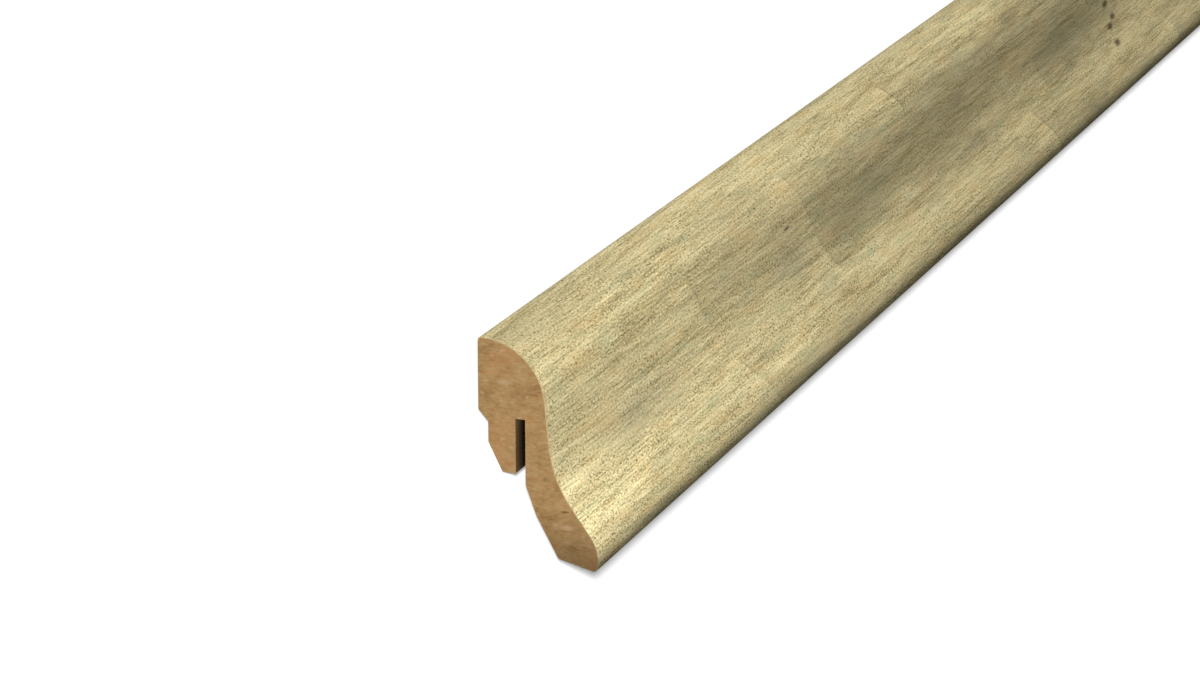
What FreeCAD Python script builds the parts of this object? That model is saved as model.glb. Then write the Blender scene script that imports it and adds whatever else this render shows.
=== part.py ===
# A clip-on skirting board: an MDF moulding with a printed wood foil on its front.
#
# Both pieces are drawn standing against the wall. X runs out from the wall,
# Z up from the floor and Y along the board, from the end that is seen.
# They are then laid down together on the slanted back of the clip lip, with the
# foil upwards, because that is how a loose length rests on a level floor.
import FreeCAD, Part
import math
import os
import Sketcher

os.makedirs("parts", exist_ok=True)
doc = FreeCAD.newDocument("skirting_board")

# Driving dimensions, in millimetres and degrees
sizes = {
    "board_length": 2400,
    "board_height": 40,
    "board_depth": 22,
    # front, from the top down to the nose
    "back_corner_radius": 0.7,
    "crown_radius": 11.7,
    "waist_lean": 5.5,
    "hollow_share": 0.5,
    "toe_slope": 35.5,
    "toe_radius": 8.2,
    "toe_front_height": 1.6,
    "nose_radius": 1,
    # back, from the wall face down over the clip lip and the leg to the heel
    "wall_face_bottom": 27,
    "recess_depth": 1.8,
    "recess_drop": 2,
    "lip_slant_height": 5.2,
    "lip_foot_depth": 4.4,
    "lip_bottom": 16.1,
    "slot_depth": 6.85,
    "slot_width": 1.8,
    "slot_roof": 26,
    "leg_back_bottom": 14.2,
    "knee_depth": 10.55,
    "knee_height": 9,
    "heel_depth": 14.6,
    "heel_height": 1.6,
    # printed foil
    "foil_thickness": 0.2,
    "foil_edge_from_heel": 2.5,
}
sheet = doc.addObject("Spreadsheet::Sheet", "Sizes")
for row, (name, value) in enumerate(sizes.items(), start=1):
    sheet.set(f"A{row}", name)
    sheet.set(f"B{row}", str(value))
    sheet.setAlias(f"B{row}", name)
doc.recompute()

# Where the crown runs out into the straight waist, and the toe's rounding into its
# straight face
waist_x = "(Sizes.back_corner_radius + Sizes.crown_radius * cos(Sizes.waist_lean))"
waist_z = "(Sizes.board_height - Sizes.crown_radius * (1 - sin(Sizes.waist_lean)))"
toe_x = "(Sizes.board_depth - Sizes.toe_radius * (1 - cos(Sizes.toe_slope)))"
toe_z = "(Sizes.toe_front_height + Sizes.toe_radius * sin(Sizes.toe_slope))"

# How far each of those two straights runs before they would meet. The hollow is
# rounded between them and takes up a share of the shorter run.
bend = "(Sizes.toe_slope - Sizes.waist_lean)"
waist_run = (
    f"(({waist_z} - {toe_z}) * sin(Sizes.toe_slope)"
    f" - ({toe_x} - {waist_x}) * cos(Sizes.toe_slope)) / sin({bend})"
)
toe_run = (
    f"(({toe_x} - {waist_x}) * cos(Sizes.waist_lean)"
    f" - ({waist_z} - {toe_z}) * sin(Sizes.waist_lean)) / sin({bend})"
)
hollow_run = f"(Sizes.hollow_share * min({waist_run}; {toe_run}))"
hollow_radius = f"({hollow_run} / tan({bend} / 2))"

# Slope of the underside, which runs from the heel and just touches the nose
nose_from_heel = "(Sizes.board_depth - Sizes.nose_radius - Sizes.heel_depth)"
nose_above_heel = "(Sizes.nose_radius - Sizes.heel_height)"
sole_slope = (
    f"(atan2({nose_above_heel}; {nose_from_heel})"
    f" - asin(Sizes.nose_radius / sqrt({nose_from_heel}^2 + {nose_above_heel}^2)))"
)

# The lying pose turns the slant of the clip lip level
lying_turn = (
    "atan2(Sizes.lip_slant_height; Sizes.lip_foot_depth - Sizes.recess_depth)"
)

# The sketcher's numbers for the points of an edge and for the origin
START, END, CENTRE = range(1, 4)
ORIGIN = (-1, START)


def size_of(expression):
    """Work out a size from the sheet as a plain number."""
    return float(sheet.evalExpression(expression))


def on_circle(centre, radius, angle):
    """Give the point on a circle at an angle in degrees."""
    turn = math.radians(angle)
    return (centre[0] + radius * math.cos(turn), centre[1] + radius * math.sin(turn))


def section_sketch(body, name):
    """Start a sketch on the body's own XZ plane, so that it shows the section."""
    sketch = body.newObject("Sketcher::SketchObject", name)
    plane = next(f for f in body.Origin.OriginFeatures if f.Role == "XZ_Plane")
    sketch.AttachmentSupport = [(plane, "")]
    sketch.MapMode = "FlatFace"
    return sketch


def line(sketch, start, end):
    """Draw a straight edge between two (depth, height) points."""
    a = FreeCAD.Vector(start[0], start[1], 0)
    b = FreeCAD.Vector(end[0], end[1], 0)
    return sketch.addGeometry(Part.LineSegment(a, b), False)


def arc(sketch, centre, radius, start, end):
    """Draw an arc anticlockwise between two angles in degrees."""
    middle = FreeCAD.Vector(centre[0], centre[1], 0)
    circle = Part.Circle(middle, FreeCAD.Vector(0, 0, 1), radius)
    return sketch.addGeometry(
        Part.ArcOfCircle(circle, math.radians(start), math.radians(end)), False
    )


def join(sketch, kind, *places):
    """Add a constraint that has no value of its own."""
    sketch.addConstraint(Sketcher.Constraint(kind, *places))


def hold(sketch, kind, *places, by):
    """Add a constraint whose value follows the sheet."""
    value = size_of(by)
    if kind == "Angle":
        value = math.radians(value)
    index = sketch.addConstraint(Sketcher.Constraint(kind, *places, value))
    sketch.setExpression(f"Constraints[{index}]", by)


def draw_front(sketch, inset):
    """Draw the moulded front, set in from the finished surface by `inset`.

    It runs from the back corner over the crown, down the waist and the hollow to
    the toe and round the nose. Returns the first arc, whose end is on the back,
    and the last one, whose start is under the nose.
    """
    height = size_of("Sizes.board_height")
    front = size_of("Sizes.board_depth") - size_of(inset)
    corner_r = size_of("Sizes.back_corner_radius")
    crown_r = size_of("Sizes.crown_radius")
    hollow_r = size_of(hollow_radius)
    toe_r = size_of("Sizes.toe_radius")
    toe_height = size_of("Sizes.toe_front_height")
    nose_r = size_of("Sizes.nose_radius")
    lean = size_of("Sizes.waist_lean")
    slope = size_of("Sizes.toe_slope")

    # Centres of the five roundings
    corner_mid = (corner_r, height - corner_r)
    crown_mid = (corner_r, height - crown_r)
    toe_mid = (size_of("Sizes.board_depth") - toe_r, toe_height)
    nose_mid = (size_of("Sizes.board_depth") - nose_r, nose_r)
    crown_foot = on_circle(crown_mid, crown_r, lean)
    waist_foot = on_circle(
        crown_foot, size_of(f"{waist_run} - {hollow_run}"), lean - 90
    )
    hollow_mid = on_circle(waist_foot, hollow_r, lean)

    skin = size_of(inset)
    corner = arc(sketch, corner_mid, corner_r - skin, 90, 180)
    crown = arc(sketch, crown_mid, crown_r - skin, lean, 90)
    waist = line(
        sketch,
        on_circle(hollow_mid, hollow_r + skin, 180 + lean),
        on_circle(crown_mid, crown_r - skin, lean),
    )
    hollow = arc(sketch, hollow_mid, hollow_r + skin, 180 + lean, 180 + slope)
    toe_face = line(
        sketch,
        on_circle(toe_mid, toe_r - skin, slope),
        on_circle(hollow_mid, hollow_r + skin, 180 + slope),
    )
    toe = arc(sketch, toe_mid, toe_r - skin, 0, slope)
    toe_front = line(sketch, (front, nose_r), (front, toe_height))
    nose = arc(sketch, nose_mid, nose_r - skin, size_of(sole_slope) - 90, 0)

    # Every stretch runs smoothly into the next
    join(sketch, "Tangent", corner, START, crown, END)
    join(sketch, "Tangent", crown, START, waist, END)
    join(sketch, "Tangent", waist, START, hollow, START)
    join(sketch, "Tangent", hollow, END, toe_face, END)
    join(sketch, "Tangent", toe_face, START, toe, END)
    join(sketch, "Tangent", toe, START, toe_front, END)
    join(sketch, "Tangent", toe_front, START, nose, END)

    # The back corner and the crown meet at the board's highest line
    hold(sketch, "DistanceX", *ORIGIN, corner, CENTRE, by="Sizes.back_corner_radius")
    hold(sketch, "DistanceY", *ORIGIN, corner, CENTRE,
         by="Sizes.board_height - Sizes.back_corner_radius")
    hold(sketch, "Radius", corner, by=f"Sizes.back_corner_radius - {inset}")
    join(sketch, "Horizontal", corner, END, corner, CENTRE)
    join(sketch, "Vertical", corner, CENTRE, crown, CENTRE)
    hold(sketch, "Radius", crown, by=f"Sizes.crown_radius - {inset}")

    # Waist and hollow
    hold(sketch, "Angle", waist, by="90 + Sizes.waist_lean")
    hold(sketch, "Radius", hollow, by=f"{hollow_radius} + {inset}")

    # Toe and nose
    hold(sketch, "Angle", toe_face, by="90 + Sizes.toe_slope")
    hold(sketch, "Radius", toe, by=f"Sizes.toe_radius - {inset}")
    hold(sketch, "DistanceY", *ORIGIN, toe, CENTRE, by="Sizes.toe_front_height")
    hold(sketch, "DistanceX", *ORIGIN, toe_front, START, by=f"Sizes.board_depth - {inset}")
    join(sketch, "Vertical", toe_front)
    hold(sketch, "DistanceY", *ORIGIN, nose, CENTRE, by="Sizes.nose_radius")
    hold(sketch, "Radius", nose, by=f"Sizes.nose_radius - {inset}")
    return corner, nose


def draw_path(sketch, corners):
    """Draw straight edges through corners held at a depth and a height each."""
    points = [(size_of(across), size_of(up)) for across, up in corners]
    edges = [line(sketch, a, b) for a, b in zip(points, points[1:])]
    for before, after in zip(edges, edges[1:]):
        join(sketch, "Coincident", before, END, after, START)
    places = [(edge, START) for edge in edges] + [(edges[-1], END)]
    for (across, up), place in zip(corners, places):
        if across == "0":
            join(sketch, "Vertical", *ORIGIN, *place)
        else:
            hold(sketch, "DistanceX", *ORIGIN, *place, by=across)
        hold(sketch, "DistanceY", *ORIGIN, *place, by=up)
    return edges[0], edges[-1]


def extrude(body, sketch):
    """Run the section out to the board's length, away from the end that is seen."""
    pad = body.newObject("PartDesign::Pad", "Length")
    pad.Profile = sketch
    pad.Reversed = True
    pad.setExpression("Length", "Sizes.board_length")
    body.Tip = pad


# The foil's two edges, at its outer and inner side: one on the wall face just under
# the back corner, the other on the underside a little short of the heel
skin = "Sizes.foil_thickness"
skin_size = size_of(skin)
slope = size_of(sole_slope)
top_outer = (0, size_of("Sizes.board_height - Sizes.back_corner_radius"))
top_inner = (skin_size, top_outer[1])
heel = (size_of("Sizes.heel_depth"), size_of("Sizes.heel_height"))
sole_outer = on_circle(heel, size_of("Sizes.foil_edge_from_heel"), slope)
sole_inner = on_circle(sole_outer, skin_size, slope + 90)

# Where the underside runs out into the nose, on the foil and on the core
nose_radius = size_of("Sizes.nose_radius")
nose_mid = (size_of("Sizes.board_depth") - nose_radius, nose_radius)
nose_outer = on_circle(nose_mid, nose_radius, slope - 90)
nose_inner = on_circle(nose_mid, nose_radius - skin_size, slope - 90)

# MDF core: wall face, clip lip, clip slot, leg and heel are bare. Along the front
# it is set in by the foil, and steps out to the finished size at each foil edge.
core = doc.addObject("PartDesign::Body", "Core")
core.Label = "mdf_core"
section = section_sketch(core, "CoreSection")
corner, nose = draw_front(section, skin)
wall_face, leg = draw_path(section, [
    ("0", "Sizes.board_height - Sizes.back_corner_radius"),
    ("0", "Sizes.wall_face_bottom"),
    ("Sizes.recess_depth", "Sizes.wall_face_bottom - Sizes.recess_drop"),
    ("Sizes.recess_depth", "Sizes.lip_bottom + Sizes.lip_slant_height"),
    ("Sizes.lip_foot_depth", "Sizes.lip_bottom"),
    ("Sizes.slot_depth", "Sizes.lip_bottom"),
    ("Sizes.slot_depth", "Sizes.slot_roof"),
    ("Sizes.slot_depth + Sizes.slot_width", "Sizes.slot_roof"),
    ("Sizes.slot_depth + Sizes.slot_width", "Sizes.leg_back_bottom"),
    ("Sizes.knee_depth", "Sizes.knee_height"),
    ("Sizes.heel_depth", "Sizes.heel_height"),
])
top_step = line(section, top_outer, top_inner)
join(section, "Coincident", top_step, START, wall_face, START)
join(section, "Coincident", top_step, END, corner, END)

bare_sole = line(section, heel, sole_outer)
sole_step = line(section, sole_outer, sole_inner)
sole = line(section, sole_inner, nose_inner)
join(section, "Coincident", bare_sole, START, leg, END)
join(section, "Coincident", bare_sole, END, sole_step, START)
join(section, "Coincident", sole_step, END, sole, START)
join(section, "Tangent", sole, END, nose, START)
join(section, "Parallel", bare_sole, sole)
join(section, "Perpendicular", bare_sole, sole_step)
hold(section, "Distance", sole_step, by=skin)
hold(section, "Distance", bare_sole, by="Sizes.foil_edge_from_heel")
extrude(core, section)

# Printed foil: one strip bent round the front, over the crown and the toe
foil = doc.addObject("PartDesign::Body", "Foil")
foil.Label = "decor_foil"
strip = section_sketch(foil, "FoilSection")
outer_corner, outer_nose = draw_front(strip, "0")
inner_corner, inner_nose = draw_front(strip, skin)
top_edge = line(strip, top_outer, top_inner)
join(strip, "Coincident", top_edge, START, outer_corner, END)
join(strip, "Coincident", top_edge, END, inner_corner, END)

outer_sole = line(strip, sole_outer, nose_outer)
inner_sole = line(strip, sole_inner, nose_inner)
sole_edge = line(strip, sole_outer, sole_inner)
heel_mark = strip.addGeometry(Part.Point(FreeCAD.Vector(heel[0], heel[1], 0)), True)
hold(strip, "DistanceX", *ORIGIN, heel_mark, START, by="Sizes.heel_depth")
hold(strip, "DistanceY", *ORIGIN, heel_mark, START, by="Sizes.heel_height")
join(strip, "PointOnObject", heel_mark, START, outer_sole)
join(strip, "Tangent", outer_sole, END, outer_nose, START)
join(strip, "Tangent", inner_sole, END, inner_nose, START)
join(strip, "Parallel", outer_sole, inner_sole)
join(strip, "Coincident", sole_edge, START, outer_sole, START)
join(strip, "Coincident", sole_edge, END, inner_sole, START)
join(strip, "Perpendicular", sole_edge, outer_sole)
hold(strip, "Distance", heel_mark, START, outer_sole, START, by="Sizes.foil_edge_from_heel")
extrude(foil, strip)

# Lying pose: turned about the board's length, with the lip's slant on the floor and
# the board centred. Across, it reaches furthest on the roundings of the back corner
# and of the nose.
left = (
    f"(Sizes.back_corner_radius * (cos({lying_turn}) + sin({lying_turn}) - 1)"
    f" - Sizes.board_height * sin({lying_turn}))"
)
right = (
    f"(Sizes.board_depth * cos({lying_turn})"
    f" - Sizes.nose_radius * (cos({lying_turn}) + sin({lying_turn}) - 1))"
)
slant_level = (
    f"(Sizes.recess_depth * sin({lying_turn})"
    f" + (Sizes.lip_bottom + Sizes.lip_slant_height) * cos({lying_turn}))"
)
for body in (core, foil):
    body.Placement.Rotation = FreeCAD.Rotation(
        FreeCAD.Vector(0, -1, 0), size_of(lying_turn)
    )
    body.setExpression("Placement.Rotation.Angle", lying_turn)
    body.setExpression("Placement.Base.x", f"-({left} + {right}) / 2")
    body.setExpression("Placement.Base.y", "-Sizes.board_length / 2")
    body.setExpression("Placement.Base.z", f"-{slant_level}")
doc.recompute()

# Nothing is written unless every object is sound
for thing in doc.Objects:
    if "Invalid" in thing.State or "Error" in thing.State:
        raise RuntimeError(f"{thing.Label} failed: {thing.State}")
for body in (core, foil):
    if body.Shape.isNull() or not body.Shape.isValid():
        raise RuntimeError(f"{body.Label} has no valid shape")

for body in (core, foil):
    body.Shape.exportStep(f"parts/{body.Label}.step")
    box = body.Shape.BoundBox
    print(
        f"{body.Label}: {body.Shape.Volume / 1000:.2f} cm3,"
        f" X {box.XMin:.3f} to {box.XMax:.3f}, Y {box.YMin:.3f} to {box.YMax:.3f},"
        f" Z {box.ZMin:.3f} to {box.ZMax:.3f} mm"
    )
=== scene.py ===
# %% [markdown]
# # A length of skirting board
#
# This lesson dresses a 2.4 m length of foil-wrapped fibreboard skirting. The imported model
# comes first, because it says where every piece goes.

from math import atan2, cos, degrees, pi, radians, sin

import bmesh
import bpy
from mathutils import Matrix, Vector


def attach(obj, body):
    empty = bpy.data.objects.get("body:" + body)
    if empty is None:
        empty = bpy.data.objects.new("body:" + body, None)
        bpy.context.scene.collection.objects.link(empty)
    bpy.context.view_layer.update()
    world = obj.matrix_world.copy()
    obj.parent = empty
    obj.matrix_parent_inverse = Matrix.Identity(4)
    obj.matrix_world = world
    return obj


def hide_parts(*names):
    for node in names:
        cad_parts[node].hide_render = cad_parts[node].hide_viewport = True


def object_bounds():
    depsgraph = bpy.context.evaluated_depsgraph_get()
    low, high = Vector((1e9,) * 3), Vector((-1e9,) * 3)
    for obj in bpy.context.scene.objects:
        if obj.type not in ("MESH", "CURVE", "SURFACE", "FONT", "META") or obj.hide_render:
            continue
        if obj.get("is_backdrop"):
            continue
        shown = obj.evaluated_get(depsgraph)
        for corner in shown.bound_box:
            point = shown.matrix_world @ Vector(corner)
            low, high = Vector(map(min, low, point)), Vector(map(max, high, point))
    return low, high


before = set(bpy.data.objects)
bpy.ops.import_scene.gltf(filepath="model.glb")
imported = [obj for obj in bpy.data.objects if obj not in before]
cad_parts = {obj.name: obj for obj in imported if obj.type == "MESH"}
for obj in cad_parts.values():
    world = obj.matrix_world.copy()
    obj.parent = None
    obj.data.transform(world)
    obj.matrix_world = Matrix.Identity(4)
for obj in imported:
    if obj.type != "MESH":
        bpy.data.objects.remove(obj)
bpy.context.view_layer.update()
MM = 0.001

# %% [markdown]
# ## The camera
#
# The picture is a close three-quarter view of one sawn end, taken from a little above,
# with the board running away to the upper right. The board lies on its back here, so the
# camera is rolled over by the same turn that laid the board down. A long lens keeps the
# perspective as mild as it is in the picture. The camera's own directions are written out,
# because a rolled camera is easier to set by its axes than by three angles.

# %% Camera
CAMERA_RIGHT = Vector((0.419343, 0.360847, 0.833138))
CAMERA_UP = Vector((-0.901365, 0.275108, 0.334531))
CAMERA_PLACE = Vector((-0.0877465, -1.799828, 0.324331))

camera_data = bpy.data.cameras.new("camera")
camera_data.lens = 120
camera_data.sensor_width = 36
camera_data.clip_start, camera_data.clip_end = 0.01, 100
camera = bpy.data.objects.new("camera", camera_data)
bpy.context.scene.collection.objects.link(camera)
bpy.context.scene.camera = camera

camera_back = CAMERA_RIGHT.cross(CAMERA_UP)
camera_axes = Matrix((CAMERA_RIGHT, CAMERA_UP, camera_back)).transposed().to_4x4()
camera.matrix_world = Matrix.Translation(CAMERA_PLACE) @ camera_axes
print("camera looks along", [round(-c, 3) for c in camera_back])

# %% [markdown]
# ## Two ways to start and end a piece
#
# Every piece ends in the same way: its bmesh becomes a mesh with materials, shown by an
# object that stays at the origin, because the place of a piece is in its mesh. Every
# material starts in the same way, with an empty node tree. Both are worth a helper.

# %% Helpers for objects and materials
def new_object(name, bm, materials):
    """Turns a finished bmesh into an object at the origin."""
    mesh = bpy.data.meshes.new(name)
    bm.to_mesh(mesh)
    bm.free()
    for material in materials:
        mesh.materials.append(material)
    made = bpy.data.objects.new(name, mesh)
    bpy.context.scene.collection.objects.link(made)
    return made


def new_material(name):
    """An empty node material, with its tree's nodes and links at hand."""
    material = bpy.data.materials.new(name)
    material.use_nodes = True
    nodes, links = material.node_tree.nodes, material.node_tree.links
    nodes.clear()
    return material, nodes, links


print("helpers:", new_object.__name__, new_material.__name__)

# %% [markdown]
# ## The floor
#
# The picture was cut out on white, and only a narrow soft shadow tells where the board
# touches down. A pale floor gives the shadow. Its lit colour alone would be a light grey,
# so what the camera sees of it gets a little white of its own through Light Path, which
# adds no light to the board.

# %% Floor
FLOOR_HALF = 60.0
FLOOR_SEEN = 0.50  # the floor's colour as the camera sees it
FLOOR_AS_BOUNCE = 0.10  # and as light bounces off it, kept low for a dark underside
FLOOR_OWN_WHITE = 0.36


def seen_directly(nodes, links):
    """1 for camera, glossy and transmission rays, 0 for the light that bounces about."""
    path = nodes.new("ShaderNodeLightPath")
    either = nodes.new("ShaderNodeMath")
    either.operation = "MAXIMUM"
    links.new(path.outputs["Is Camera Ray"], either.inputs[0])
    links.new(path.outputs["Is Glossy Ray"], either.inputs[1])
    any_of = nodes.new("ShaderNodeMath")
    any_of.operation = "MAXIMUM"
    links.new(either.outputs[0], any_of.inputs[0])
    links.new(path.outputs["Is Transmission Ray"], any_of.inputs[1])
    return any_of.outputs[0]


floor_material, nodes, links = new_material("studio_floor")
direct = seen_directly(nodes, links)
floor_tone = nodes.new("ShaderNodeMapRange")
floor_tone.inputs["To Min"].default_value = FLOOR_AS_BOUNCE
floor_tone.inputs["To Max"].default_value = FLOOR_SEEN
links.new(direct, floor_tone.inputs["Value"])
diffuse = nodes.new("ShaderNodeBsdfDiffuse")
links.new(floor_tone.outputs["Result"], diffuse.inputs["Color"])
own_white = nodes.new("ShaderNodeEmission")
own_white.inputs["Color"].default_value = (1, 1, 1, 1)
strength = nodes.new("ShaderNodeMath")
strength.operation = "MULTIPLY"
links.new(direct, strength.inputs[0])
strength.inputs[1].default_value = FLOOR_OWN_WHITE
links.new(strength.outputs[0], own_white.inputs["Strength"])
both = nodes.new("ShaderNodeAddShader")
links.new(diffuse.outputs[0], both.inputs[0])
links.new(own_white.outputs[0], both.inputs[1])
links.new(both.outputs[0], nodes.new("ShaderNodeOutputMaterial").inputs["Surface"])

bm = bmesh.new()
bmesh.ops.create_grid(bm, x_segments=1, y_segments=1, size=FLOOR_HALF)
floor = new_object("floor", bm, [floor_material])
floor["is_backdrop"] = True
print("floor", 2 * FLOOR_HALF, "m across")

# %% [markdown]
# ## The background
#
# The world does above the horizon what the floor does below it. Seen directly it is plain
# white, and as a light it is a weak grey that fills the shadows from all sides.

# %% World
WORLD_GREY = 0.13

world = bpy.data.worlds.new("studio")
world.use_nodes = True
bpy.context.scene.world = world
nodes, links = world.node_tree.nodes, world.node_tree.links
nodes.clear()
ambient = nodes.new("ShaderNodeBackground")
ambient.inputs["Color"].default_value = (1, 1, 1, 1)
ambient.inputs["Strength"].default_value = WORLD_GREY
white = nodes.new("ShaderNodeBackground")
white.inputs["Color"].default_value = (1, 1, 1, 1)
white.inputs["Strength"].default_value = 1
choose = nodes.new("ShaderNodeMixShader")
links.new(seen_directly(nodes, links), choose.inputs[0])
links.new(ambient.outputs[0], choose.inputs[1])
links.new(white.outputs[0], choose.inputs[2])
links.new(choose.outputs[0], nodes.new("ShaderNodeOutputWorld").inputs["Surface"])
print("world gives a grey of", WORLD_GREY)

# %% [markdown]
# ## Lamps
#
# The shading in the picture comes from two soft lights. One is even along the whole board
# and comes over its back edge, so the crown and the slope of the toe are bright and the
# waist between them is a step darker. The other hangs close to the sawn end and fades
# within a hand's breadth or two, so the near end is the brightest part of the board. A sun
# lamp with a wide angle does the first, because its light doesn't fade, and small area
# lamps do the second. The far end has one too, or it would be black when the board is seen
# from there. The floor has a sun of its own through light linking. It shines from nearly
# where the camera is, so the shadow shows only as a narrow soft line along the nose.

# %% Lamps
board_only = bpy.data.collections.new("lit_board")
floor_only = bpy.data.collections.new("lit_floor")
floor_only.objects.link(floor)


def new_lamp(name, kind, energy, lights, direction=None, place=None, aim=None, size=0.0):
    """A lamp that shines from a direction, or from a place towards an aim."""
    data = bpy.data.lights.new(name, kind)
    data.energy = energy
    if kind == "SUN":
        data.angle = size
    else:
        data.shape, data.size = "DISK", size
    lamp = bpy.data.objects.new(name, data)
    if direction is None:
        lamp.location = place
        direction = place - aim
    lamp.rotation_euler = direction.to_track_quat("Z", "Y").to_euler()
    lamp.visible_camera = False
    lamp.light_linking.receiver_collection = lights
    bpy.context.scene.collection.objects.link(lamp)


BACK_SUN_FROM = Vector((-0.824, 0.0, 0.566))
FLOOR_SUN_FROM = Vector((-0.2135, -0.854, 0.4745))
new_lamp("back_sun", "SUN", 1.93, board_only, direction=BACK_SUN_FROM, size=radians(18))
new_lamp("floor_sun", "SUN", 8.6, floor_only, direction=FLOOR_SUN_FROM, size=radians(6))

NEAR_END, FAR_END = Vector((-0.018, -1.17, 0.01)), Vector((-0.018, 1.17, 0.01))
END_LAMP_SIZE = 0.08
END_LAMPS = (
    ("near_lamp", 0.99, Vector((0.036, -1.47, 0.150)), NEAR_END),
    ("near_top_lamp", 0.04, Vector((-0.066, -1.09, 0.204)), NEAR_END),
    ("far_lamp", 0.90, Vector((0.036, 1.47, 0.150)), FAR_END),
)
for name, watts, place, aim in END_LAMPS:
    new_lamp(name, "AREA", watts, board_only, place=place, aim=aim, size=END_LAMP_SIZE)

# %% [markdown]
# ## The front of the section
#
# A moulding is one outline drawn along a straight line, so the outline is where the work
# is. Seen as it stands against a wall, the front goes over a small back corner, round the
# crown, down a leaning waist, through a hollow, down the slope of the toe, round the toe
# and under the nose. Each curve meets the next without a kink. A curve is given by its
# centre, its radius, the angle at which it starts and how far it turns. Sizes are in
# millimetres, angles are in degrees from the x axis towards z, and a turn is plus where
# it goes clockwise.

# %% The curves of the front
LENGTH = 2400 * MM
FOIL = 0.2 * MM

#           centre x, z      radius    starts  turns  steps
CORNER = (0.7, 39.3, 0.7, 180.0, 90.0, 8)
CROWN = (0.7, 28.3, 11.7, 90.0, 84.5, 42)
HOLLOW = (34.9315, 23.898, 21.952, 185.5, -30.0, 18)
TOE = (13.8, 1.6, 8.2, 35.5, 35.5, 18)
NOSE = (21.0, 1.0, 1.0, 0.0, 104.306, 17)
FRONT = (CORNER, CROWN, HOLLOW, TOE, NOSE)


def on_curve(curve, inset, angle):
    """A point of a curve moved in by inset, which is how the core clears the foil."""
    x, z, radius, _, turn, _ = curve
    radius += inset if turn < 0 else -inset
    return Vector((x + radius * cos(radians(angle)), 0, z + radius * sin(radians(angle))))


print("the crown starts", round(on_curve(CROWN, 0, CROWN[3]).z, 2), "mm up the wall")

# %% [markdown]
# ## Drawing with two kinds of run
#
# The outline is drawn as a wire with a tip that moves on. A straight run extrudes the tip
# and puts its copy down at the next point. A curved run spins the tip about the curve's
# centre, so no point of a curve has to be worked out by hand.

# %% Straight and curved runs
def run_to(bm, tip, point):
    """A straight run: the tip is extruded and its copy is put down at the point."""
    grown = bmesh.ops.extrude_vert_indiv(bm, verts=[tip])["verts"][0]
    grown.co = point
    return grown


def bend_round(bm, tip, curve):
    """A curved run: the tip is spun about the curve's centre."""
    x, z, _, _, turn, steps = curve
    spun = bmesh.ops.spin(
        bm, geom=[tip], cent=(x, 0, z), axis=(0, 1, 0), angle=radians(turn), steps=steps
    )
    return next(v for v in spun["geom_last"] if isinstance(v, bmesh.types.BMVert))


print("steps on the front:", sum(curve[5] for curve in FRONT))

# %% [markdown]
# ## Round the whole section
#
# The front is walked twice, once for the foil and once, set in by the foil's thickness,
# for the core. The foil stops on the sole a little short of the heel, as it often does on
# a wrapped board, and the core steps out to the full section there. From the heel the
# core's outline goes on up the back: knee, leg, clip slot, lip, recess and the flat that
# lies on the wall.

# %% Walk round the section
HEEL = Vector((14.6, 0, 1.6))
SOLE_ANGLE = 14.306
FOIL_EDGE_FROM_HEEL = 2.5
SAME_PLACE = 0.001

BACK = (
    (10.55, 9.0), (8.65, 14.2), (8.65, 26.0), (6.85, 26.0), (6.85, 16.1),
    (4.4, 16.1), (1.8, 21.3), (1.8, 25.0), (0.0, 27.0), (0.0, 39.3),
)


def foil_edge(inset):
    """Where the foil stops on the sole."""
    along_sole = Vector((cos(radians(SOLE_ANGLE)), 0, -sin(radians(SOLE_ANGLE))))
    inwards = Vector((sin(radians(SOLE_ANGLE)), 0, cos(radians(SOLE_ANGLE))))
    return HEEL + FOIL_EDGE_FROM_HEEL * along_sole + inset * inwards


def walk_front(bm, inset):
    """The whole front from the back corner to the foil's edge, in millimetres."""
    first = tip = bm.verts.new(on_curve(CORNER, inset, CORNER[3]))
    for curve in FRONT:
        start = on_curve(curve, inset, curve[3])
        if (start - tip.co).length > SAME_PLACE:
            tip = run_to(bm, tip, start)
        tip = bend_round(bm, tip, curve)
    return first, run_to(bm, tip, foil_edge(inset))


def walk_back(bm, tip, first):
    """On from the foil's edge to the heel, up the back and home to the first vertex."""
    for point in (foil_edge(0), HEEL, *(Vector((x, 0, z)) for x, z in BACK)):
        if (point - tip.co).length > SAME_PLACE:
            tip = run_to(bm, tip, point)
    bm.edges.new((tip, first))


outline = bmesh.new()
first, last = walk_front(outline, 0)
walk_back(outline, last, first)
print("front and back outline:", len(outline.verts), "points,",
      round(sum(e.calc_length() for e in outline.edges), 2), "mm round")

# %% [markdown]
# ## How it lies
#
# Laid down, the board rests on the slanted back of its lip, with the foil up. One turn
# about its length lays that slant on the floor. The outline just walked is turned the same
# way, and its lowest and outermost points then say how far every piece moves to sit on the
# floor with the board in the middle. The way back, to the standing section, is kept as
# well, because the finishes are described there.

# %% The turn that lays it down
LIP_TOP, LIP_FOOT = Vector((1.8, 0, 21.3)), Vector((4.4, 0, 16.1))
LYING_TURN = -atan2(LIP_TOP.z - LIP_FOOT.z, LIP_FOOT.x - LIP_TOP.x)
LYING = Matrix.Rotation(LYING_TURN, 3, "Y")
STANDING = Matrix.Rotation(-LYING_TURN, 3, "Y")

bmesh.ops.rotate(outline, cent=(0, 0, 0), matrix=LYING, verts=outline.verts)
xs, zs = [v.co.x for v in outline.verts], [v.co.z for v in outline.verts]
LYING_MOVE = Vector((-(min(xs) + max(xs)) / 2, 0, -min(zs))) * MM + Vector((0, -LENGTH / 2, 0))
outline.free()


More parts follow.
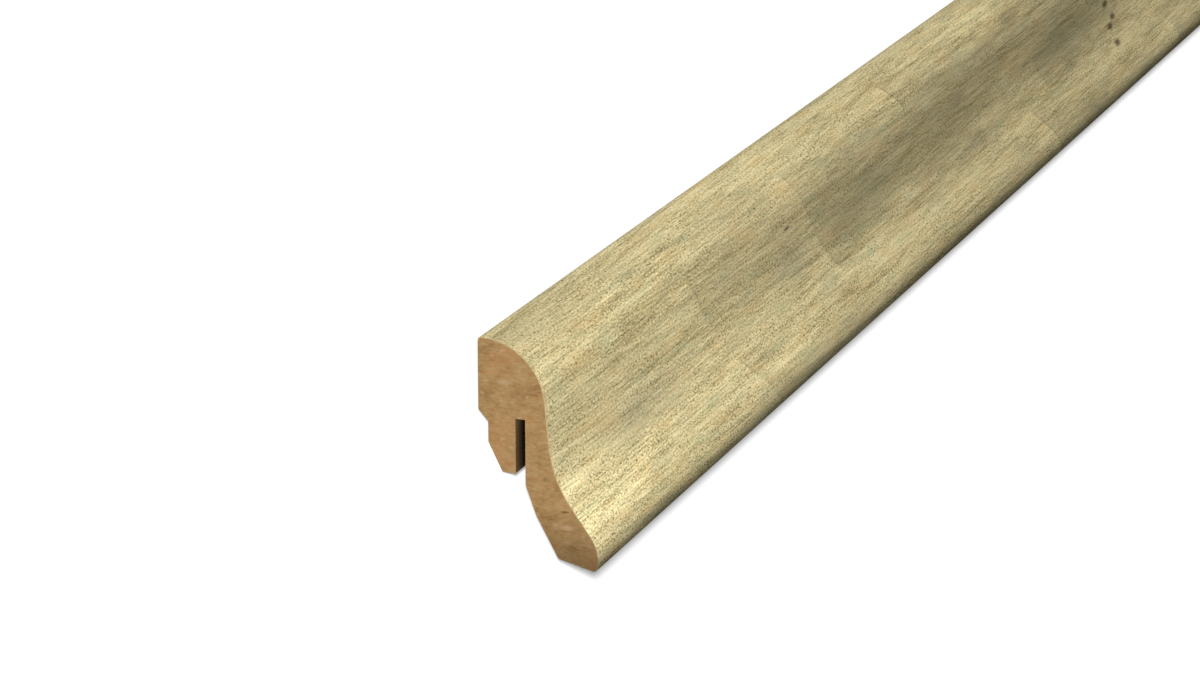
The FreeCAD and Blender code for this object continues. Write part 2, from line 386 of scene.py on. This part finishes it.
def lay_down(bm):
    """Takes a piece from the standing outline in millimetres to its place on the floor."""
    bmesh.ops.scale(bm, vec=(MM, 1, MM), verts=bm.verts)
    bmesh.ops.rotate(bm, cent=(0, 0, 0), matrix=LYING, verts=bm.verts)
    bmesh.ops.translate(bm, vec=LYING_MOVE, verts=bm.verts)


print("turned", round(degrees(LYING_TURN), 3), "degrees and moved in mm",
      [round(c / MM, 3) for c in LYING_MOVE])

# %% [markdown]
# ## Drawing the outline out to 2.4 m
#
# Both pieces are the outline pulled along the length. It is pulled in four equal stretches
# rather than one, because the stretches are stacked above each other on the UV map that
# the finish is baked through, where one strip of 2.4 m would leave hardly a pixel for a
# millimetre of print. Afterwards the curves are shaded smooth and every real arris is kept
# crisp.

# %% Pull a wire along the length
STRETCHES = 4
STRETCH = LENGTH / STRETCHES
CRISP_FROM = radians(25)


def pull_along(bm):
    """Extrudes the wire along Y in equal stretches; returns its edges at the far end."""
    far = bm.edges[:]
    for _ in range(STRETCHES):
        grown = bmesh.ops.extrude_edge_only(bm, edges=far)["geom"]
        moved = [v for v in grown if isinstance(v, bmesh.types.BMVert)]
        bmesh.ops.translate(bm, vec=(0, STRETCH, 0), verts=moved)
        moved = set(moved)
        far = [e for e in grown if isinstance(e, bmesh.types.BMEdge)
               and all(v in moved for v in e.verts)]
    return far


def which_stretch(face):
    """0 for the stretch at the near end, up to 3 for the one at the far end."""
    return int((face.calc_center_median().y + LENGTH / 2) / STRETCH)


def mark_crisp(bm):
    """Smooth shading on the curves, with every real arris kept crisp."""
    for face in bm.faces:
        face.smooth = True
    for edge in bm.edges:
        edge.smooth = edge.calc_face_angle(pi) < CRISP_FROM


print("stretches of", STRETCH, "m")

# %% [markdown]
# ## Mixing paint with nodes
#
# The two finishes use the same few steps again and again: stretch a noise into streaks,
# turn it into a mask, and lay one colour over another through the mask. Small helpers keep
# each finish readable as a recipe. Colours are written as they look on screen, 0 to 255,
# and are turned into the light values that a shader works with.

# %% Helpers for the finishes
def shade(red, green, blue):
    """A screen colour as the linear values a shader socket wants."""
    def light(c):
        c /= 255
        return c / 12.92 if c <= 0.04045 else ((c + 0.055) / 1.055) ** 2.4
    return (light(red), light(green), light(blue), 1)


class Recipe:
    """A material being mixed. Each method adds one step and returns its output socket."""

    def __init__(self, name):
        self.material, self.nodes, self.links = new_material(name)

    def _feed(self, socket, value):
        if isinstance(value, bpy.types.NodeSocket):
            self.links.new(value, socket)
        else:
            socket.default_value = value

    def coordinates(self, uv_map=None):
        if uv_map:
            node = self.nodes.new("ShaderNodeUVMap")
            node.uv_map = uv_map
            return node.outputs["UV"]
        return self.nodes.new("ShaderNodeTexCoord").outputs["Object"]

    def stretched(self, where, scale, move=(0, 0, 0), turn=(0, 0, 0)):
        node = self.nodes.new("ShaderNodeMapping")
        self._feed(node.inputs["Vector"], where)
        node.inputs["Scale"].default_value = scale
        node.inputs["Location"].default_value = move
        node.inputs["Rotation"].default_value = turn
        return node.outputs["Vector"]

    def noise(self, where, detail=2.0, roughness=0.5, distortion=0.0):
        node = self.nodes.new("ShaderNodeTexNoise")
        self._feed(node.inputs["Vector"], where)
        node.inputs["Scale"].default_value = 1.0
        node.inputs["Detail"].default_value = detail
        node.inputs["Roughness"].default_value = roughness
        node.inputs["Distortion"].default_value = distortion
        return node.outputs["Fac"]

    def summed(self, parts):
        """Noises weighed against their mid grey and added up round a mid grey."""
        total = 0.5
        for noise, weight in parts:
            swing = self.math("MULTIPLY", self.math("SUBTRACT", noise, 0.5), weight)
            total = self.math("ADD", swing, total)
        return total

    def ramp(self, value, stops):
        node = self.nodes.new("ShaderNodeValToRGB")
        self._feed(node.inputs[0], value)
        while len(node.color_ramp.elements) < len(stops):
            node.color_ramp.elements.new(1.0)
        for element, (position, colour) in zip(node.color_ramp.elements, stops):
            element.position, element.color = position, colour
        return node.outputs["Color"]

    def joined(self, x, y):
        node = self.nodes.new("ShaderNodeCombineXYZ")
        self._feed(node.inputs[0], x)
        self._feed(node.inputs[1], y)
        return node.outputs[0]

    def apart(self, where):
        node = self.nodes.new("ShaderNodeSeparateXYZ")
        self._feed(node.inputs[0], where)
        return node.outputs

    def length(self, where):
        node = self.nodes.new("ShaderNodeVectorMath")
        node.operation = "LENGTH"
        self._feed(node.inputs[0], where)
        return node.outputs["Value"]

    def math(self, operation, a, b=0.0):
        node = self.nodes.new("ShaderNodeMath")
        node.operation = operation
        self._feed(node.inputs[0], a)
        self._feed(node.inputs[1], b)
        return node.outputs[0]

    def mask(self, value, low, high, out_low=0.0, out_high=1.0, kind="SMOOTHSTEP"):
        """Goes from out_low to out_high while the value goes from low to high."""
        node = self.nodes.new("ShaderNodeMapRange")
        node.interpolation_type = kind
        self._feed(node.inputs["Value"], value)
        for name, number in zip(("From Min", "From Max", "To Min", "To Max"),
                                (low, high, out_low, out_high)):
            node.inputs[name].default_value = number
        return node.outputs["Result"]

    def over(self, below, above, mask):
        """Lays one colour over another through a mask."""
        node = self.nodes.new("ShaderNodeMix")
        node.data_type = "RGBA"
        self._feed(node.inputs["Factor"], mask)
        self._feed(node.inputs["A"], below)
        self._feed(node.inputs["B"], above)
        return node.outputs["Result"]

    def brighten(self, colour, factor):
        """Multiplies a colour by a grey."""
        node = self.nodes.new("ShaderNodeVectorMath")
        node.operation = "SCALE"
        self._feed(node.inputs[0], colour)
        self._feed(node.inputs["Scale"], factor)
        return node.outputs["Vector"]

    def bump(self, height, depth):
        node = self.nodes.new("ShaderNodeBump")
        node.inputs["Strength"].default_value = 1.0
        node.inputs["Distance"].default_value = depth
        self._feed(node.inputs["Height"], height)
        return node.outputs["Normal"]

    def finish(self, colour, roughness, normal, specular):
        """Ends the recipe in a shader and returns the material."""
        surface = self.nodes.new("ShaderNodeBsdfPrincipled")
        self._feed(surface.inputs["Base Color"], colour)
        self._feed(surface.inputs["Roughness"], roughness)
        surface.inputs["Specular IOR Level"].default_value = specular
        self.links.new(normal, surface.inputs["Normal"])
        out = self.nodes.new("ShaderNodeOutputMaterial")
        self.links.new(surface.outputs[0], out.inputs["Surface"])
        return self.material


print("a mid straw is", [round(c, 3) for c in shade(205, 190, 145)[:3]])

# %% [markdown]
# ## The printed grain
#
# The face of the board is a paper foil printed as limed, greyed wood. All of the print
# follows the foil as it is wrapped, so it is drawn on an unrolled UV map measured in
# metres: across the map is along the board, up the map is round the section. The ground
# is straw-coloured, with streaks in four lengths, from grain finer than a millimetre to
# soft bands a hand long. Their sum picks a colour from one ramp, so that a fine streak is
# darker where it crosses a dark band, as it is in wood.

# %% Grain of the print
PRINT_MAP = "foil_unrolled"

wood = Recipe("printed_wood_foil")
roll = wood.coordinates(PRINT_MAP)
along, across, _ = wood.apart(roll)

grain = wood.noise(wood.stretched(roll, (1300, 3300, 1)), detail=1, roughness=0.6)
hairs = wood.noise(wood.stretched(roll, (110, 2500, 1), move=(3, 7, 0)), detail=2, roughness=0.6)
streaks = wood.noise(wood.stretched(roll, (36, 900, 1), move=(5, 1, 0)), detail=2)
bands = wood.noise(wood.stretched(roll, (11, 220, 1), move=(1, 4, 0)), detail=3, distortion=0.2)
tone = wood.summed(((grain, 1.20), (hairs, 0.80), (streaks, 0.52), (bands, 0.50)))
colour = wood.ramp(tone, (
    (0.18, shade(140, 126, 87)), (0.38, shade(194, 179, 131)), (0.50, shade(216, 200, 151)),
    (0.62, shade(232, 216, 164)), (0.82, shade(250, 237, 188)),
))
print("grain:", len(wood.nodes), "nodes")

# %% [markdown]
# ## Blotches and pores
#
# Over the grain lie warm cream blotches, a slow drift between peach and green, and faint
# grey-green clouds. Each is one stretched noise with a mask that lets only its peaks or
# its valleys through. The pores are fine dark pinpricks. A second, broader noise gathers
# them in clusters, because pores spread evenly look like printed dots.

# %% Blotches and pores of the print
drift = wood.noise(wood.stretched(roll, (80, 420, 1), move=(1, 8, 0)), detail=3)
colour = wood.over(colour, shade(224, 194, 134), wood.mask(drift, 0.52, 0.70, 0, 0.34))
colour = wood.over(colour, shade(184, 188, 146), wood.mask(drift, 0.30, 0.48, 0.36, 0))
warm = wood.noise(wood.stretched(roll, (34, 150, 1), move=(11, 2, 0)), detail=3, distortion=0.6)
colour = wood.over(colour, shade(226, 192, 134), wood.mask(warm, 0.54, 0.74, 0, 0.26))
cloud = wood.noise(wood.stretched(roll, (20, 110, 1), move=(5, 1.4, 0)), detail=3, distortion=0.4)
colour = wood.over(colour, shade(146, 140, 110), wood.mask(cloud, 0.50, 0.72, 0, 0.26))

prick = wood.noise(wood.stretched(roll, (1050, 2500, 1), move=(8, 4, 0)), detail=0)
crowd = wood.noise(wood.stretched(roll, (45, 260, 1), move=(2, 3, 0)), detail=2)
pores = wood.math("MULTIPLY", wood.mask(prick, 0.66, 0.76), wood.mask(crowd, 0.38, 0.60))
colour = wood.over(colour, shade(72, 68, 46), wood.math("MULTIPLY", pores, 0.80))
print("with blotches and pores:", len(wood.nodes), "nodes")

# %% [markdown]
# ## Patches that come back
#
# A printing cylinder goes round every 0.6 m or so, and brings back the same large marks:
# shaded clouds and pale gleams. They are what the eye recognises a decor by, so each is
# placed one by one, as a soft oval whose edge is stirred by a noise. Places and half sizes
# are in millimetres, along the board first and then round the section.

# %% Clouds and gleams of the print
PRINT_REPEAT = 612 * MM


def soft_oval(paint, where, middle, reach, edge, wander):
    """A soft oval, 1 in its middle: its place and half size in mm, its edge stirred by a noise."""
    scale = (1 / (reach[0] * MM), 1 / (reach[1] * MM), 1)
    move = (-middle[0] / reach[0], -middle[1] / reach[1], 0)
    away = paint.length(paint.stretched(where, scale, move=move))
    swing = paint.math("MULTIPLY", paint.math("SUBTRACT", edge, 0.5), wander)
    return paint.mask(paint.math("ADD", away, swing), 0.25, 1.1, 1, 0)


in_repeat = wood.joined(wood.math("MODULO", along, PRINT_REPEAT), across)
edge_wander = wood.noise(wood.stretched(roll, (60, 330, 1), move=(7, 7, 0)), detail=3)

GREY_GREEN, OLIVE, BLUE_GREY = shade(128, 128, 104), shade(134, 122, 90), shade(124, 128, 116)
#         middle      half size  colour      strength
CLOUDS = (
    ((8, 6), (32, 5), OLIVE, 0.30), ((46, 31), (30, 5), BLUE_GREY, 0.20),
    ((128, 28), (16, 4.5), BLUE_GREY, 0.24), ((178, 28), (36, 8), GREY_GREEN, 0.36),
    ((138, 46), (26, 5), OLIVE, 0.24), ((238, 29), (36, 7), OLIVE, 0.24),
    ((245, 15.5), (44, 2.5), GREY_GREEN, 0.30), ((258, 34), (20, 3.5), BLUE_GREY, 0.24),
    ((298, 12.5), (12, 2), OLIVE, 0.40), ((345, 28), (42, 8), GREY_GREEN, 0.30),
    ((460, 16), (44, 8), OLIVE, 0.30), ((540, 34), (36, 9), GREY_GREEN, 0.32),
)
#         middle      half size  how much brighter
GLEAMS = (
    ((8, 39), (42, 7), 0.30), ((70, 26), (62, 10), 0.16), ((50, 18), (48, 4), 0.12),
    ((60, 11), (46, 5), 0.08), ((118, 42), (34, 4), 0.16), ((176, 18), (22, 4), 0.14),
    ((278, 8), (18, 6), 0.12), ((310, 20), (40, 5), 0.16), ((420, 30), (40, 6), 0.12),
)
for middle, reach, painted, strength in CLOUDS:
    cover = soft_oval(wood, in_repeat, middle, reach, edge_wander, wander=1.2)
    colour = wood.over(colour, painted, wood.math("MULTIPLY", cover, strength))
for middle, reach, gain in GLEAMS:
    cover = soft_oval(wood, in_repeat, middle, reach, edge_wander, wander=1.2)
    gleam = wood.math("MULTIPLY", cover, gain)
    colour = wood.brighten(colour, wood.math("ADD", gleam, 1.0))
print(len(CLOUDS), "clouds and", len(GLEAMS), "gleams in every", PRINT_REPEAT, "m")

# %% [markdown]
# ## Butt joints
#
# The print shows narrow strips of wood laid end to end, with slanted butt joints that are
# hardly visible. A strip is a little lighter before a joint, and the next one starts with
# a thin line and a darker stretch that fades. One ramp holds that run of greys, with a mid
# grey where nothing changes, and is laid along the slant at each joint's place.

# %% Butt joints of the print
SLANT = 0.8
BEFORE, AFTER = 20, 50
ROW_SOFT = 0.8
JOINT_AT = BEFORE / (BEFORE + AFTER)
JOINT_GREYS = (
    (0.0, 0.5), (JOINT_AT - 0.005, 0.72), (JOINT_AT + 0.004, 0.0),
    (JOINT_AT + 0.016, 0.10), (JOINT_AT + 0.025, 0.26), (1.0, 0.5),
)
#   along  from  to    how strong
JOINTS = (
    (58.5, 14.5, 26.3, 0.30), (58.5, 36, 51, 0.30), (124, 10, 26.3, 0.24), (124, 26.3, 36.5, 0.36),
    (198, 7, 15.5, 0.40), (269, 36, 51, 0.42), (290, 25.5, 36, 0.26), (345, 14.5, 25.5, 0.30),
    (392, 36, 51, 0.30), (420, 3, 14.5, 0.26), (452, 25.5, 36, 0.34), (505, 14.5, 26.3, 0.30),
    (532, 36, 51, 0.30),
)

joint_ramp = [(position, (grey, grey, grey, 1)) for position, grey in JOINT_GREYS]
slanted = wood.math("SUBTRACT", along, wood.math("MULTIPLY", across, SLANT))
slanted = wood.math("MODULO", wood.math("ADD", slanted, PRINT_REPEAT), PRINT_REPEAT)
for start, low, high, strength in JOINTS:
    near_joint = wood.mask(slanted, (start - BEFORE) * MM, (start + AFTER) * MM, kind="LINEAR")
    in_row = wood.math("MULTIPLY", wood.mask(across, low * MM, (low + ROW_SOFT) * MM),
                       wood.mask(across, (high - ROW_SOFT) * MM, high * MM, 1, 0))
    swing = wood.math("SUBTRACT", wood.ramp(near_joint, joint_ramp), 0.5)
    swing = wood.math("MULTIPLY", wood.math("MULTIPLY", swing, in_row), strength)
    colour = wood.brighten(colour, wood.math("ADD", swing, 1.0))
print(len(JOINTS), "butt joints")

# %% [markdown]
# ## Spots, painted shading and the sheen of the foil
#
# A few small dark spots come last, over the joints. Then painted shade and light are laid
# across the section, from the back corner on: the waist is painted a shade darker than the
# crown, and the hollow a shade lighter. A dark line of painted shade runs round the nose,
# and a faint one at the back corner. The surface is matt, so its gloss is weak, and the grain
# and the pores give it a relief of about a hundredth of a millimetre.

# %% Finish of the printed face
SPOT = shade(70, 58, 36)
#         middle          half size
SPOTS = (
    ((381, 27.0), (3.4, 1.3)), ((385.5, 31.2), (3.0, 1.1)), ((380.8, 33.0), (3.4, 1.2)),
    ((380.5, 37.5), (3.4, 1.2)), ((128, 20.8), (2.4, 0.5)),
)
# painted shading round the section: darker waist, lighter hollow, dark nose and corner lines
#   from    to  how bright before and after
PAINTED_SHADING_ROUND = (
    (18.0, 21.5, 1, 0.95), (23.0, 26.0, 1, 1.053), (34.0, 37.0, 1, 1.02),
    (0.6, 2.0, 0.84, 1), (46.0, 49.6, 1, 0.26), (50.0, 51.2, 1, 3.0),
)
EMBOSSED = 0.012 * MM

for middle, reach in SPOTS:
    cover = soft_oval(wood, in_repeat, middle, reach, edge_wander, wander=0.5)
    colour = wood.over(colour, SPOT, wood.math("MULTIPLY", cover, 0.80))
# lays the painted shading round the section
for low, high, before, after in PAINTED_SHADING_ROUND:
    colour = wood.brighten(colour, wood.mask(across, low * MM, high * MM, before, after))

relief = wood.bump(wood.math("SUBTRACT", tone, pores), EMBOSSED)
foil_face = wood.finish(colour, wood.mask(tone, 0.3, 0.7, 0.86, 0.74), relief, specular=0.03)
print("foil finish:", len(wood.nodes), "nodes")

# %% [markdown]
# ## The paper of the foil
#
# The foil's cut edge and its glued side are plain paper, finely fibrous, and darker towards
# the toe with painted shade. This finish and the fibreboard's are solid ones, described on
# the section as it stands, so the object's own coordinates are first turned back upright.

# %% Finish of the paper edge
PAPER_ROUGH = 0.01 * MM
STANDING_TURN = (0, -LYING_TURN, 0)
STANDING_MOVE = -(STANDING @ LYING_MOVE)

paper = Recipe("foil_paper_edge")
upright = paper.stretched(paper.coordinates(), (1, 1, 1), move=STANDING_MOVE, turn=STANDING_TURN)
fibres = paper.noise(paper.stretched(upright, (2500, 2500, 2500)), detail=2)
pulp = paper.over(shade(200, 178, 132), shade(180, 154, 108), paper.mask(fibres, 0.35, 0.65))
# painted shade: the paper is darkened towards the toe
pulp = paper.brighten(pulp, paper.mask(paper.apart(upright)[2], 0, 16 * MM, 0.36, 1))
foil_paper = paper.finish(pulp, paper.mask(fibres, 0.3, 0.7, 0.7, 0.85),
                          paper.bump(fibres, PAPER_ROUGH), specular=0.3)
print("paper finish:", len(paper.nodes), "nodes")

# %% [markdown]
# ## The foil
#
# The foil is a fifth of a millimetre thick and wraps the front from under the back corner
# to the sole behind the nose. It could be painted on the core, but its cut edge shows at
# the sawn end and along the sole, so it is made as what it is: a sheet with a thickness.
# The walked wire is pulled into a sheet and given that thickness inwards. Before that,
# each vertex is told how far round the section it lies, which later becomes the print's
# UV map, without any stretching on the curves.

# %% Build the foil
def unroll(first, way):
    """Writes on each vertex how far round the section it is, and returns the whole way."""
    vertex, edge, gone = first, None, 0.0
    while vertex is not None:
        vertex[way] = gone
        edge = next((e for e in vertex.link_edges if e is not edge), None)
        if edge is None:
            return gone
        gone += edge.calc_length() * MM
        vertex = edge.other_vert(vertex)


bm = bmesh.new()
way = bm.verts.layers.float.new("way_round")
first, last = walk_front(bm, 0)
way_round = unroll(first, way)
pull_along(bm)
lay_down(bm)

bmesh.ops.recalc_face_normals(bm, faces=bm.faces[:])
bm.normal_update()
inside = Vector((0, 0, 5 * MM))
facing_out = sum((f.calc_center_median() - inside).dot(f.normal) * f.calc_area() for f in bm.faces)
if facing_out < 0:
    bmesh.ops.reverse_faces(bm, faces=bm.faces[:])
printed = set(bm.faces[:])
bmesh.ops.solidify(bm, geom=bm.faces[:], thickness=FOIL)
print("foil:", len(bm.faces), "faces,", round(way_round / MM, 2), "mm round the front")

# %% [markdown]
# ## The foil's two maps
#
# The print's map is in metres. The second map is the one that a finish is baked through:
# the four stretches of the printed face stacked above each other, and the paper, which
# needs little room, in a narrow band on top.

# %% Lay the foil out
BAKE_MAP = "OFBake"  # the map that a finish is baked through
FACE_SHARE = 0.94  # of the bake map's height, for the printed face
ROW_MARGIN, PAPER_MARGIN = 0.02, 0.1

print_uv = bm.loops.layers.uv.new(PRINT_MAP)
bake_uv = bm.loops.layers.uv.new(BAKE_MAP)
for face in bm.faces:
    face.material_index = 0 if face in printed else 1
    row = which_stretch(face)
    for loop in face.loops:
        gone = loop.vert.co.y + LENGTH / 2
        share = loop.vert[way] / way_round
        loop[print_uv].uv = (gone, loop.vert[way])
        if face in printed:
            up = row + ROW_MARGIN + (1 - 2 * ROW_MARGIN) * share
            loop[bake_uv].uv = (gone / STRETCH - row, up * FACE_SHARE / STRETCHES)
        else:
            up = PAPER_MARGIN + (1 - 2 * PAPER_MARGIN) * share
            loop[bake_uv].uv = (gone / LENGTH, FACE_SHARE + (1 - FACE_SHARE) * up)
mark_crisp(bm)
foil = new_object("printed_foil", bm, [foil_face, foil_paper])
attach(foil, "root")
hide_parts("decor_foil")
board_only.objects.link(foil)
print("foil laid out:", len(foil.data.polygons), "faces on", len(foil.data.uv_layers), "maps")

# %% [markdown]
# ## The fibreboard's finish
#
# The core is medium-density fibreboard: pressed wood fibre, warm brown, without a grain of
# its own. Fine fibres, broader clumps and a slow change of hue are summed into one tone,
# with a few reddish flecks and pale ones over it, and painted shade darkens the colour
# towards the toe. A sawn end shows matted fibres as a fine mottle. The milled faces of
# the back are smoother and carry faint lines along the cutter's path. One recipe serves
# both, with its noises drawn out along the board for the milled faces.

# %% What both surfaces of the fibreboard share
MATTED = 0.02 * MM


def fibreboard(name, fibre_scale, clump_scale):
    """A recipe with the fibreboard's colour, and the sockets that its marks are added to."""
    board = Recipe(name)
    upright = board.stretched(board.coordinates(), (1, 1, 1), move=STANDING_MOVE, turn=STANDING_TURN)
    fibres = board.noise(board.stretched(upright, fibre_scale), detail=3, roughness=0.6)
    clump_place = board.stretched(upright, clump_scale, move=(2, 5, 1))
    clumps = board.noise(clump_place, detail=3, distortion=0.4)
    hue = board.noise(board.stretched(upright, (110, 110, 140), move=(4, 2, 8)), detail=2)
    fleck_scale = tuple(0.6 * s for s in fibre_scale)
    fleck = board.noise(board.stretched(upright, fleck_scale, move=(9, 1, 4)), detail=0)
    tone = board.summed(((fibres, 0.60), (clumps, 0.48), (hue, 0.25)))
    colour = board.ramp(tone, (
        (0.25, shade(131, 97, 58)), (0.42, shade(156, 123, 80)), (0.55, shade(168, 136, 91)),
        (0.75, shade(183, 153, 110)),
    ))
    colour = board.over(colour, shade(176, 124, 78), board.mask(hue, 0.50, 0.68, 0, 0.30))
    colour = board.over(colour, shade(165, 102, 50), board.mask(fleck, 0.68, 0.78, 0, 0.42))
    colour = board.over(colour, shade(200, 176, 140), board.mask(fleck, 0.22, 0.31, 0.30, 0))
    x, _, z = board.apart(upright)
    # painted shade: the colour is darkened towards the toe
    colour = board.brighten(colour, board.mask(z, -3 * MM, 12 * MM, 0.38, 1))
    return board, colour, fibres, clumps, x, z


def matt(board, colour, fibres):
    """Ends a fibreboard recipe: rougher and higher where a fibre stands up."""
    return board.finish(colour, board.mask(fibres, 0.3, 0.7, 0.80, 0.95),
                        board.bump(fibres, MATTED), specular=0.1)


print("fibres stand up by", MATTED / MM, "mm")

# %% [markdown]
# ## The sawn end
#
# On the end a few single chips can be told apart from the mottle: dark slivers of bark and
# pale chips of wood. They are placed one by one on the standing section, depth first and
# then height, in millimetres.

# %% Finish of the sawn end
#        middle         half size   colour             strength
CHIPS = (
    ((15.8, 10.2), (1.1, 0.30), shade(92, 62, 36), 0.80),
    ((16.1, 7.4), (1.6, 0.6), shade(190, 160, 124), 0.50),
    ((5.0, 32.3), (1.6, 0.7), shade(196, 166, 124), 0.50),
    ((10.4, 30.6), (1.6, 0.4), shade(130, 94, 58), 0.60),
    ((16.6, 3.8), (2.4, 0.5), shade(110, 78, 48), 0.40),
    ((12.4, 15.6), (0.8, 0.5), shade(112, 76, 46), 0.45),
)

sawn, colour, fibres, clumps, x, z = fibreboard(
    "fibreboard_sawn_end", fibre_scale=(1000, 900, 2300), clump_scale=(300, 400, 620)
)
on_end = sawn.joined(x, z)
for middle, reach, painted, strength in CHIPS:
    cover = soft_oval(sawn, on_end, middle, reach, clumps, wander=1.2)
    colour = sawn.over(colour, painted, sawn.math("MULTIPLY", cover, strength))
sawn_end = matt(sawn, colour, fibres)
print("sawn end:", len(CHIPS), "chips,", len(sawn.nodes), "nodes")

# %% [markdown]
# ## The milled back
#
# The clip slot is a narrow saw cut, and seen from the end it is nearly black. That dark is
# painted shade: the slot's place on the section makes a mask, and the depth from the nearer
# end says how dark it is, so that the painted shade deepens over the first few millimetres.
# It is painted into the finish because the lamps alone would leave the slot too pale.

# %% Finish of the milled faces
SLOT_LEFT, SLOT_RIGHT, SLOT_MOUTH, SLOT_ROOF = 6.7, 8.7, 14, 26.1
WALL_SOFT, MOUTH_SOFT = 0.1, 3
# how dark the painted shade in the slot is at the end and further in
DARK_AT_END, DARK_INSIDE = 0.48, 0.10

milled, colour, fibres, _, x, z = fibreboard(
    "fibreboard_milled", fibre_scale=(1500, 180, 1500), clump_scale=(300, 6, 300)
)
left_wall = milled.mask(x, SLOT_LEFT * MM, (SLOT_LEFT + WALL_SOFT) * MM)
right_wall = milled.mask(x, SLOT_RIGHT * MM, (SLOT_RIGHT + WALL_SOFT) * MM, 1, 0)
mouth = milled.mask(z, SLOT_MOUTH * MM, (SLOT_MOUTH + MOUTH_SOFT) * MM)
roof = milled.mask(z, SLOT_ROOF * MM, (SLOT_ROOF + WALL_SOFT) * MM, 1, 0)
in_slot = milled.math("MULTIPLY", left_wall, right_wall)
in_slot = milled.math("MULTIPLY", in_slot, mouth)
in_slot = milled.math("MULTIPLY", in_slot, roof)
from_middle = milled.math("ABSOLUTE", milled.apart(milled.coordinates())[1])
depth_in = milled.math("SUBTRACT", LENGTH / 2, from_middle)
# painted shade in the slot, deepening with the depth from the nearer end
slot_shade = milled.mask(depth_in, -0.5 * MM, 3 * MM, DARK_AT_END, DARK_INSIDE)
colour = milled.over(colour, milled.brighten(colour, slot_shade), in_slot)
milled_face = matt(milled, colour, fibres)
print("milled faces:", len(milled.nodes), "nodes")

# %% [markdown]
# ## The core
#
# The same walk, moved in by the foil's thickness and carried on round the back, gives the
# core's outline. Pulled along the length and closed at both ends it is a solid bar. Its
# raw arrises are softened by a tenth of a millimetre, because fibreboard never holds a
# knife edge, and that thin line of light is what makes the slot and the lip read as cut.
# Only edges that run along the board and stand out are softened. Those that go in, such as
# the corners of the slot, stay sharp.

# %% Build the core
ARRIS = 0.12 * MM
ARRIS_FROM = radians(12)

bm = bmesh.new()
first, last = walk_front(bm, FOIL / MM)
walk_back(bm, last, first)
near = bm.edges[:]
far = pull_along(bm)
for rim in (near, far):
    bmesh.ops.edgeloop_fill(bm, edges=rim)
lay_down(bm)
bmesh.ops.recalc_face_normals(bm, faces=bm.faces[:])
bm.normal_update()

long_arrises = [
    e for e in bm.edges
    if abs(e.verts[0].co.y - e.verts[1].co.y) > MM and e.calc_face_angle(0) > ARRIS_FROM
    and e.calc_face_angle_signed(0) > 0
]
bmesh.ops.bevel(
    bm, geom=long_arrises, offset=ARRIS, offset_type="OFFSET", segments=2, profile=0.5,
    affect="EDGES", material=-1,
)
bm.normal_update()
print("core:", len(bm.faces), "faces,", len(long_arrises) // STRETCHES, "softened arrises")

# %% [markdown]
# ## The core's map
#
# The core has no print, so it needs only the map to bake through. Its two ends, which are
# looked at most, get more than half of the height, side by side. The long faces get the
# rest: each stretch is a row, and the faces lie in it one above the other, each as tall as
# it measures round the section.

# %% Lay the core out
END_ROOM = 0.6  # of the bake map's height, for the two sawn ends
END_SIZE = 42 * MM  # a little more than the section's height
END_LEFT, END_LOW = 0.02, 0.01
ROWS_FROM, ROWS_ROOM, ROW_SHARE = 0.62, 0.38, 0.97

bake_uv = bm.loops.layers.uv.new(BAKE_MAP)
ends = [f for f in bm.faces if abs(f.normal.y) > 0.5]
long_faces = [f for f in bm.faces if abs(f.normal.y) <= 0.5]
round_all = sum(f.calc_area() / STRETCH for f in long_faces if which_stretch(f) == 0)
for face in ends:
    face.material_index = 0
    beside = 0.5 if face.normal.y > 0 else 0.0
    corners = [STANDING @ loop.vert.co for loop in face.loops]
    low_x, low_z = min(c.x for c in corners), min(c.z for c in corners)
    for loop, corner in zip(face.loops, corners):
        loop[bake_uv].uv = (
            END_LEFT + beside + (corner.x - low_x) / END_SIZE * END_ROOM,
            END_LOW + (corner.z - low_z) / END_SIZE * END_ROOM,
        )

filled = [0.0] * STRETCHES
for face in long_faces:
    face.material_index = 1
    row = which_stretch(face)
    round_way = face.normal.cross(Vector((0, 1, 0)))
    places = [loop.vert.co.dot(round_way) for loop in face.loops]
    for loop, place in zip(face.loops, places):
        up = (filled[row] + place - min(places)) / round_all
        loop[bake_uv].uv = (
            (loop.vert.co.y + LENGTH / 2) / STRETCH - row,
            ROWS_FROM + ROWS_ROOM * (row + ROW_SHARE * up) / STRETCHES,
        )
    filled[row] += max(places) - min(places)
mark_crisp(bm)
core = new_object("fibreboard_core", bm, [sawn_end, milled_face])
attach(core, "root")
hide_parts("mdf_core")
board_only.objects.link(core)
print("core laid out:", len(ends), "ends,", round(round_all / MM, 1), "mm round")

# %% [markdown]
# ## Colour management and the last measure
#
# The Standard view transform shows colours as they are written. The box of the finished
# pieces is then measured and printed.

# %% Measure and finish
bpy.context.scene.view_settings.view_transform = "Standard"

low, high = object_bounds()
print("visual box in mm:", [round(c / MM, 2) for c in (*low, *high)])
